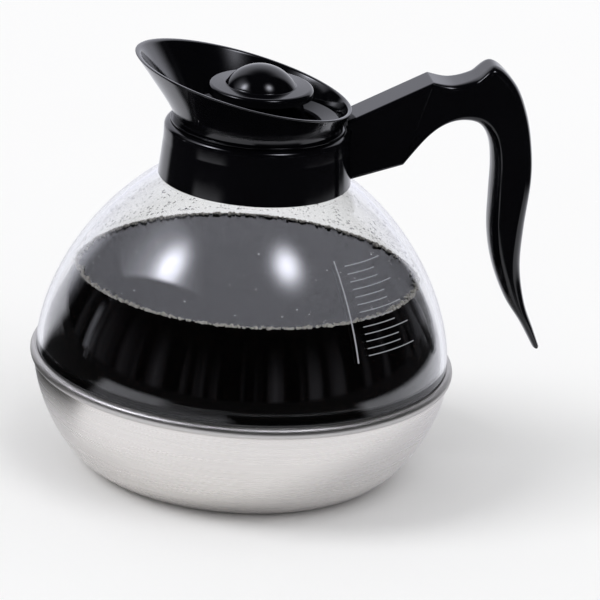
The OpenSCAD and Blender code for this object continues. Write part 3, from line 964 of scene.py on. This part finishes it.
def handle_grip():
    """The grip from the crease to the tip of its tail, with the screw's bore from below."""
    station_steps, tip_r, tip_angles = 8, 1.2, (20, 45, 70, 90)
    stations = [(JOINT_TOP, JOINT_BOTTOM, 1.0, 0.0)]
    stations += [(grip_point(o), grip_point(i), w, e) for o, i, w, e in GRIP_SHARES]
    last = len(stations) - 1

    def at(i, t, inset=0.0):
        around = [stations[j] for j in (max(i - 1, 0), i, i + 1, min(i + 2, last))]
        return section(*(between(*[s[n] for s in around], t) for n in range(4)), inset)

    first_run = (stations[1][0] - stations[0][0]).length
    sections = [at(0, 0, CREASE), at(0, CREASE / first_run), at(0, 2 * CREASE / first_run)]
    for i in range(last):
        sections += [at(i, k / station_steps) for k in range(0 if i else 1, station_steps)]
    last_run = (stations[last][0] - stations[last - 1][0]).length
    for angle in tip_angles:
        a = math.radians(angle)
        t = 1 - tip_r * (1 - math.sin(a)) / last_run
        sections.append(at(last - 1, t, tip_r * (1 - math.cos(a))))
    piece = make_piece("handle_grip_skin", *loft(sections), sharp=math.radians(50))
    ring, bore_r = 48, HEAD_R + PUSH_GAP
    vertices = []
    for z in (JOINT_BOTTOM.y, GRIP_SEAT_Z):
        for k in range(ring):
            a = 2 * math.pi * k / ring
            vertices.append((GRIP_SCREW_X + bore_r * math.cos(a), bore_r * math.sin(a), z))
    faces = [[k, (k + 1) % ring, ring + (k + 1) % ring, ring + k] for k in range(ring)]
    faces += [list(reversed(range(ring))), [ring + k for k in range(ring)]]
    combine(piece, make_piece("bore_tool", vertices, faces), "DIFFERENCE")
    return piece


# Scene

black = black_plastic("black_plastic", ior=1.5, roughness=(0.06, 0.12))
lid_black = black_plastic("lid_plastic", ior=1.4, roughness=(0.05, 0.1))
metal, screws, clear = steel(), screw_steel(), clear_plastic()
rubber = mottled(
    "silicone",
    scale=90.0,
    colours=((0.03, 0.03, 0.032, 1), (0.06, 0.06, 0.062, 1)),
    roughness=(0.5, 0.7),
    grain=(1500.0, 0.2),
    IOR=1.42,
)
liquid = mottled(
    "coffee_liquid",
    scale=35.0,
    colours=((0.0012, 0.0008, 0.0008, 1), (0.003, 0.0018, 0.0014, 1)),
    roughness=(0.02, 0.06),
    IOR=1.34,
    Specular_IOR_Level=0.42,
)
bubbles = mottled(
    "foam",
    scale=700.0,
    colours=((0.52, 0.49, 0.46, 1), (0.82, 0.80, 0.77, 1)),
    roughness=(0.15, 0.35),
    IOR=1.33,
)
water = mottled(
    "water_drops",
    scale=400.0,
    colours=((0.93, 0.93, 0.93, 1), (0.99, 0.99, 0.99, 1)),
    roughness=(0.0, 0.08),
    IOR=1.33,
    Transmission_Weight=1.0,
)
ink = mottled(
    "white_ink",
    scale=900.0,
    colours=((0.30, 0.31, 0.34, 1), (0.42, 0.43, 0.46, 1)),
    roughness=(0.35, 0.5),
    IOR=1.45,
)
dress(base_cup(), metal, "carafe", "base_cup")
dress(clear_bowl(), clear, "carafe", "clear_bowl")
dress(neck_collar(), black, "carafe", "neck_collar")
dress(handle_arm(), black, "carafe", "handle_arm")
dress(handle_grip(), black, "carafe", "handle_grip")
dress(pour_funnel(), black, "funnel", "pour_funnel")
dress(dome_lid(), lid_black, "lid", "dome_lid")
dress(coffee(), liquid, "carafe")
dress(foam_ring(), bubbles, "carafe")
dress(condensation(), water, "carafe")
dress(tick_scale(), ink, "carafe")

CAD_MATERIALS = {
    "base_gasket": rubber,
    "collar_gasket": rubber,
    "funnel_seal": rubber,
    "collar_screws": screws,
    "grip_screw": screws,
}
for node_name, node_material in CAD_MATERIALS.items():
    node_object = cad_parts[node_name]
    node_object.data.materials.clear()
    node_object.data.materials.append(node_material)


def turn_pair(a, b, angle):
    """Two directions turned in their plane, the first towards the second."""
    c, s = math.cos(angle), math.sin(angle)
    return a * c + b * s, b * c - a * s


def camera():
    """The camera fitted to the photograph's square frame."""
    distance, height = 1800.0, 80.0
    tilt, yaw, pitch, roll = (math.radians(v) for v in (19.68, 0.67, -0.355, 4.1))
    focal_px, frame_px, sensor = 4644.0, 600.0, 36.0
    forward = turn_view((0, math.cos(tilt), -math.sin(tilt)))
    up = RIGHT.cross(forward)
    forward, right = turn_pair(forward, RIGHT, yaw)
    forward, up = turn_pair(forward, up, pitch)
    right, up = turn_pair(right, up, roll)
    place = turn_view((0, -math.cos(tilt) * distance, math.sin(tilt) * distance + height)) * MM
    data = bpy.data.cameras.new("camera")
    data.sensor_width = sensor
    data.lens = focal_px * sensor / frame_px
    data.clip_start, data.clip_end = 0.05, 50.0
    obj = bpy.data.objects.new("camera", data)
    matrix = Matrix((right, up, -forward)).transposed().to_4x4()
    matrix.translation = place
    obj.matrix_world = matrix
    bpy.context.scene.collection.objects.link(obj)
    bpy.context.scene.camera = obj


def lamp(name, direction, strength, angle):
    """A soft sun lamp, left out of reflections, where the world shows a glow in its place."""
    data = bpy.data.lights.new(name, "SUN")
    data.energy = strength
    data.angle = math.radians(angle)
    obj = bpy.data.objects.new(name, data)
    obj.rotation_mode = "QUATERNION"
    obj.rotation_quaternion = direction.to_track_quat("Z", "Y")
    obj.visible_glossy = False
    obj.visible_transmission = False
    bpy.context.scene.collection.objects.link(obj)


# What gloss shows of the room. A pair is where a soft edge starts and where it ends: degrees from
# the middle for a side, and heights of directions of length 1 for a top
BACKDROP_SIDE, BACKDROP_TOP, BACKDROP_LIGHT = (54, 38), (0.95, 0.6), 1.0
ROOM_SCALE, ROOM_DETAIL, ROOM_CLOUDS, ROOM_TOP = 4.5, 2.0, (0.48, 0.75), (0.5, 0.1)
ROOM_DARK, ROOM_LIGHT = 0.005, 0.2
STREAK_TURN, STREAK_SIDE, STREAK_TOP, STREAK_LIGHT = 82, (2.4, 1.0), (0.3, 0.2), 0.6
# Falloff and strength of each glow
KEY_GLOW, PANEL_GLOW, FILL_GLOW = (120.0, 13.0), (14.0, 3.0), (140.0, 13.0)
# The plain sky from level up to a height: its light, its light after a bounce, and as it is seen
SKY_TOP, SKY_LIGHT, SKY_BOUNCE, SKY_SEEN = 0.6, (0.295, 1.06), (0.186, 0.67), 0.97
SKY_COLOUR, GLOSS_COLOUR = (0.985, 0.985, 0.985, 1), (0.95, 0.96, 1.07, 1)


def studio_world():
    """A pale backdrop behind, a dark room in front, and two soft lamps that gloss can show."""
    world = bpy.data.worlds.new("studio")
    bpy.context.scene.world = world
    world.use_nodes = True
    g = Graph(world.node_tree)
    way = g.add("ShaderNodeTexCoord").outputs["Generated"]
    x, y, height = g.add("ShaderNodeSeparateXYZ", {0: way}).outputs
    level = g.add("ShaderNodeCombineXYZ", {0: x, 1: y, 2: 0.0}).outputs[0]
    level = g.add("ShaderNodeVectorMath", {0: level}, operation="NORMALIZE").outputs[0]

    def edge(value, start, end, light=1.0):
        return g.ramp(value, start, end, 0.0, light, smooth=True)

    def cosines(angles):
        return [math.cos(math.radians(v)) for v in angles]

    def glow(lamp_way, power, strength):
        facing = g.math("MAXIMUM", g.along(way, lamp_way), 0.0)
        return g.math("MULTIPLY", g.math("POWER", facing, power), strength)

    def inside(side):
        normal, start, end = side
        return edge(g.along(way, normal), start, end)

    def either(share, a, b):
        node = g.add("ShaderNodeMix", {"Factor": share, "A": a, "B": b}, data_type="FLOAT")
        return node.outputs[0]

    behind = edge(g.along(level, AWAY), *cosines(BACKDROP_SIDE))
    backdrop = g.math("MULTIPLY", behind, edge(height, *BACKDROP_TOP))
    clouds = {"Vector": level, "Scale": ROOM_SCALE, "Detail": ROOM_DETAIL}
    room = g.add("ShaderNodeTexNoise", clouds).outputs["Fac"]
    room = g.ramp(room, *ROOM_CLOUDS, 0.0, ROOM_LIGHT)
    room = g.math("MULTIPLY", room, edge(height, *ROOM_TOP))
    turn = math.radians(STREAK_TURN)
    streak_way = turn_view((-math.sin(turn), math.cos(turn), 0))
    streak = edge(g.along(level, streak_way), *cosines(STREAK_SIDE), STREAK_LIGHT)
    streak = g.math("MULTIPLY", streak, edge(height, *STREAK_TOP))
    key = g.math("MULTIPLY", glow(KEY_LAMP, *KEY_GLOW), inside(PANEL_SIDES[0]))
    panel = glow(KEY_LAMP, *PANEL_GLOW)
    for side in PANEL_SIDES:
        panel = g.math("MULTIPLY", panel, inside(side))
    light = g.ramp(backdrop, 0.0, 1.0, ROOM_DARK, BACKDROP_LIGHT)
    for part in (room, streak, key, panel, glow(FILL_LAMP, *FILL_GLOW)):
        light = g.math("ADD", light, part)

    path, glossy = g.add("ShaderNodeLightPath").outputs, g.in_gloss()
    straight = g.math("MAXIMUM", path["Is Camera Ray"], path["Is Transmission Ray"])
    strength = either(straight, g.ramp(height, 0.0, SKY_TOP, *SKY_LIGHT), SKY_SEEN)
    strength = either(glossy, strength, light)
    bounce = g.ramp(height, 0.0, SKY_TOP, *SKY_BOUNCE)
    strength = either(path["Is Diffuse Ray"], strength, bounce)
    tint = g.blend(glossy, SKY_COLOUR, GLOSS_COLOUR)
    background = g.add("ShaderNodeBackground", {"Color": tint, "Strength": strength})
    g.add("ShaderNodeOutputWorld", {"Surface": background.outputs[0]})


# Sectors of the floor that gloss sees as the dark room: the side, right 1 or left -1, the lowest
# and highest cosine from the way back, and where the dark starts and is full, in metres
DARK_FLOOR = (
    (-1, -0.30, 0.55, 0.07, 0.14),
    (-1, -0.80, -0.30, 0.40, 0.54),
    (-1, -1.20, -0.80, 0.24, 0.34),
    (1, -0.45, 0.68, 0.34, 0.46),
    (1, -1.20, -0.45, 0.14, 0.22),
)


def studio_floor():
    """A pale floor, which reflections see only near the part and behind it."""
    half, level, soft, side_soft = 6.0, -0.0003, 0.07, 0.03
    dark_colour = (0.02, 0.02, 0.02, 1)
    mesh = bpy.data.meshes.new("floor")
    corners = [(-half, -half), (half, -half), (half, half), (-half, half)]
    mesh.from_pydata([(x, y, level) for x, y in corners], [], [[0, 1, 2, 3]])
    floor = bpy.data.objects.new("floor", mesh)
    bpy.context.scene.collection.objects.link(floor)
    material, g, shader = new_material("pale_floor", Roughness=0.9, Specular_IOR_Level=0.0)
    place = g.place()
    across, depth = g.along(place, RIGHT), g.along(place, AWAY)
    reach = g.add("ShaderNodeVectorMath", {0: place}, operation="LENGTH").outputs["Value"]
    facing = g.math("DIVIDE", depth, reach)
    dark = 0.0
    for side, low, high, start, end in DARK_FLOOR:
        sector = g.ramp(across, -side_soft * side, 0.0, 0.0, 1.0)
        for limit in (
            g.ramp(facing, low - soft, low + soft, 0.0, 1.0, smooth=True),
            g.ramp(facing, high - soft, high + soft, 1.0, 0.0, smooth=True),
            g.ramp(reach, start, end, 0.0, 1.0, smooth=True),
        ):
            sector = g.math("MULTIPLY", sector, limit)
        dark = g.math("ADD", sector, dark)
    dark = g.math("MULTIPLY", g.math("MINIMUM", dark, 1.0), g.in_gloss())
    pale = g.blend(g.noise(5.0), (0.925, 0.925, 0.93, 1), (0.945, 0.945, 0.95, 1))
    feed(g, shader, Base_Color=g.blend(dark, pale, dark_colour))
    mesh.materials.append(material)


camera()
lamp("key_lamp", KEY_LAMP, strength=1.12, angle=28)
lamp("fill_lamp", FILL_LAMP, strength=0.6, angle=35)
studio_world()
studio_floor()
bpy.context.scene.view_settings.view_transform = "Standard"
